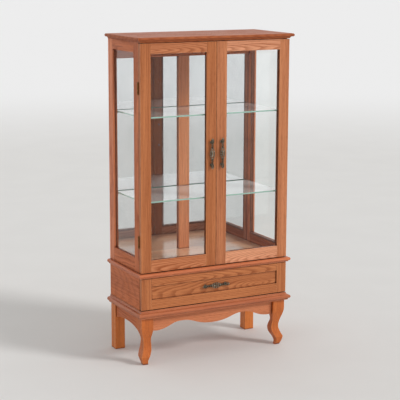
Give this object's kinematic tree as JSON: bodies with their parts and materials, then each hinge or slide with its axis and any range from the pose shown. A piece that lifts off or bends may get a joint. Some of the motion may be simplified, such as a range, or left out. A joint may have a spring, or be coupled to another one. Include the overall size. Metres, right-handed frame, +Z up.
{
  "type": "display cabinet",
  "caption": "Tall glazed oak display cabinet with hinged doors, glass shelves, mirrored back, a drawer and a moulded base on cabriole front legs.",
  "frame": {"origin": "centre of the floor area, on the floor", "axes": "+Z up, +X to the right as seen from the front, +Y from the front to the back"},
  "size_m": [0.734, 0.3374, 1.3758],
  "materials": {
    "oak": "satin stained oak",
    "oak_inside": "satin stained oak, not lit",
    "back_board": "thin board, plain",
    "floor_lacquer": "gloss lacquer",
    "clear_glass": "clear float glass",
    "mirror_glass": "silvered glass",
    "aged_bronze": "aged, dark in the hollows",
    "hinge_brass": "dull brass",
    "screw_steel": "plated",
    "catch_plastic": "brown, matt"
  },
  "bodies": {
    "cabinet": {"front_leg_right": "oak", "front_leg_left": "oak", "rear_legs": "oak", "apron_front": "oak", "side_aprons": "oak", "apron_rear": "oak", "glue_blocks": "oak_inside", "base_board": "oak", "drawer_case_sides": "oak", "drawer_runners": "oak_inside", "waist_board": "oak", "side_front_stiles": "oak", "side_rear_stiles": "oak", "side_top_rails": "oak", "side_bottom_rails": "oak", "side_glass_panes": "clear_glass", "side_glass_beads": "oak_inside", "floor_panel": "floor_lacquer", "back_top_rail": "oak", "back_mullion": "oak", "back_mirrors": "mirror_glass", "back_panels": "back_board", "shelf_upper": "clear_glass", "shelf_lower": "clear_glass", "shelf_pins": "screw_steel", "top_board": "oak", "hinge_case_leaves": "hinge_brass", "hinge_pins": "hinge_brass", "magnetic_catches": "catch_plastic", "case_hinge_screws": "screw_steel"},
    "left_door": {"left_door_inner_stile": "oak", "left_door_outer_stile": "oak", "left_door_top_rail": "oak", "left_door_bottom_rail": "oak", "left_door_glass": "clear_glass", "left_door_beads": "oak_inside", "left_door_pull": "aged_bronze", "left_door_hinge_leaves": "hinge_brass", "left_door_strike_plate": "screw_steel", "left_door_screws": "screw_steel"},
    "right_door": {"right_door_inner_stile": "oak", "right_door_outer_stile": "oak", "right_door_top_rail": "oak", "right_door_bottom_rail": "oak", "right_door_glass": "clear_glass", "right_door_beads": "oak_inside", "right_door_pull": "aged_bronze", "right_door_hinge_leaves": "hinge_brass", "right_door_strike_plate": "screw_steel", "right_door_screws": "screw_steel"},
    "drawer": {"drawer_front_stiles": "oak", "drawer_front_top_rail": "oak", "drawer_front_bottom_rail": "oak", "drawer_front_panel": "oak", "drawer_box_sides": "oak_inside", "drawer_box_front": "oak_inside", "drawer_box_back": "oak_inside", "drawer_box_bottom": "back_board", "drawer_pull": "aged_bronze", "drawer_screws": "screw_steel"}
  },
  "joints": [
    {"name": "left_door_hinge", "type": "hinge", "parent": "cabinet", "child": "left_door", "pos_m": [-0.353, -0.1325, 0.8775], "axis": [0, 0, -1], "range_deg": [0, 120]},
    {"name": "right_door_hinge", "type": "hinge", "parent": "cabinet", "child": "right_door", "pos_m": [0.353, -0.1325, 0.8775], "axis": [0, 0, 1], "range_deg": [0, 120]},
    {"name": "drawer_slide", "type": "slide", "parent": "cabinet", "child": "drawer", "axis": [0, -1, 0], "range_m": [0, 0.22]}
  ]
}
